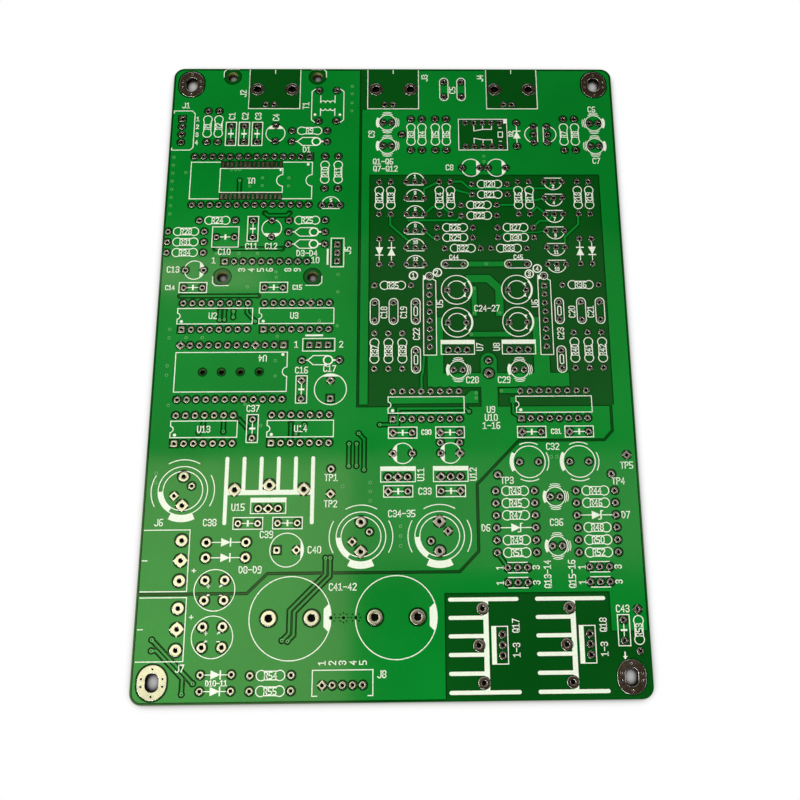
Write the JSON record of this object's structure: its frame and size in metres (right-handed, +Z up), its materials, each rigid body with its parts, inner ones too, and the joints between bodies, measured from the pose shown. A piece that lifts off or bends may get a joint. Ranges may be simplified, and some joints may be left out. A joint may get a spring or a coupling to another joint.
{
  "type": "bare printed circuit board",
  "caption": "Flat green double-sided circuit board of a stereo audio converter, unpopulated, with plated holes, white printed outlines and slotted corner mounts.",
  "frame": {"origin": "middle of the board's underside", "axes": "+X across the board, +Y towards the edge with the jacks, +Z up from the underside to the printed side"},
  "size_m": [0.1296, 0.179, 0.0016],
  "materials": {
    "laminate": "dark green lacquer over glass laminate",
    "lacquered_copper": "green lacquer over copper",
    "plated_metal": "tinned copper",
    "ink": "printed ink"
  },
  "bodies": {
    "root": {"board": "laminate", "digital_ground_plane": "lacquered_copper", "analog_ground_plane": "lacquered_copper", "signal_traces": "lacquered_copper", "underside_digital_plane": "lacquered_copper", "underside_analog_plane": "lacquered_copper", "mounting_lands": "plated_metal", "ic_pads": "plated_metal", "resistor_pads": "plated_metal", "film_capacitor_pads": "plated_metal", "electrolytic_pads": "plated_metal", "reservoir_pads": "plated_metal", "diode_pads": "plated_metal", "transistor_pads": "plated_metal", "regulator_pads": "plated_metal", "heatsink_pads": "plated_metal", "jack_pads": "plated_metal", "terminal_pads": "plated_metal", "header_pads": "plated_metal", "transformer_pads": "plated_metal", "test_pads": "plated_metal", "surface_mount_lands": "plated_metal", "via_barrels": "lacquered_copper", "legend": "ink"}
  },
  "joints": []
}
